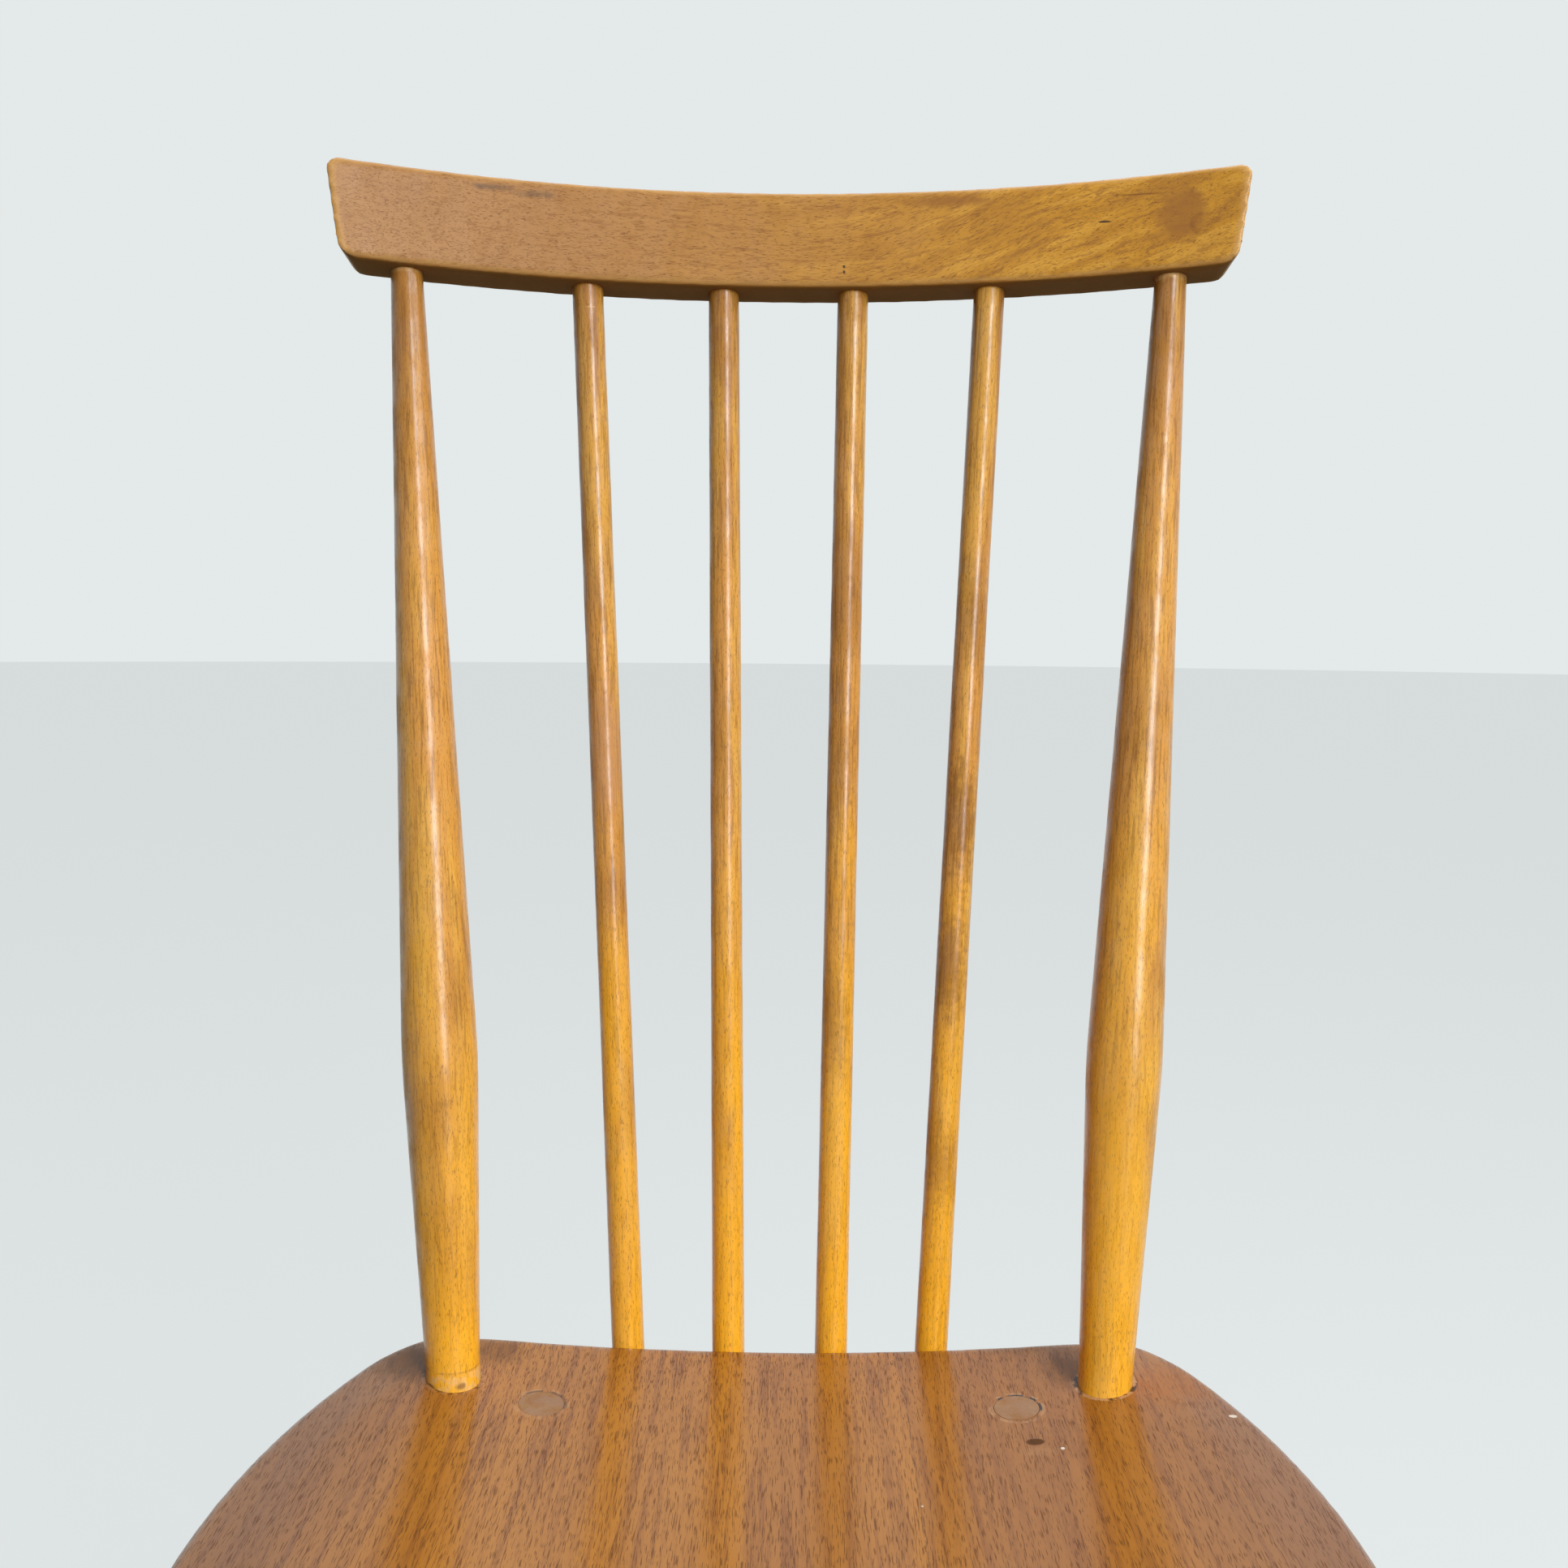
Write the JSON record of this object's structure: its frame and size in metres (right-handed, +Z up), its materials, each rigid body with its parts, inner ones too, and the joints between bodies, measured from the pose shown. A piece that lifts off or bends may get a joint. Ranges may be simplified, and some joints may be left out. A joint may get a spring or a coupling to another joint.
{
  "type": "stick-back chair",
  "caption": "Varnished wooden stick-back kitchen chair with a dished seat, turned posts and spindles, a bent crest rail and splayed turned legs; worn and scuffed.",
  "frame": {"origin": "on the floor, under the middle of the chair's outer box", "axes": "+Z up, +X towards the right as the chair is seen from the front, the sitter faces -Y"},
  "size_m": [0.401, 0.4866, 0.9364],
  "materials": {
    "seat_wood": "open-pored hardwood under old, dulled brown varnish",
    "rail_wood": "close-grained hardwood under worn satin varnish",
    "turned_wood": "beech under glossy amber varnish, chipped at the ends",
    "leg_wood": "beech under amber varnish, scuffed towards the floor"
  },
  "bodies": {
    "root": {"seat_board_left": "seat_wood", "seat_board_middle": "seat_wood", "seat_board_right": "seat_wood", "crest_rail": "rail_wood", "post_left": "turned_wood", "post_right": "turned_wood", "spindle_outer_left": "turned_wood", "spindle_inner_left": "turned_wood", "spindle_inner_right": "turned_wood", "spindle_outer_right": "turned_wood", "leg_rear_left": "leg_wood", "leg_rear_right": "leg_wood", "leg_front_left": "leg_wood", "leg_front_right": "leg_wood", "stretcher_left": "leg_wood", "stretcher_right": "leg_wood", "stretcher_cross": "leg_wood"}
  },
  "joints": []
}
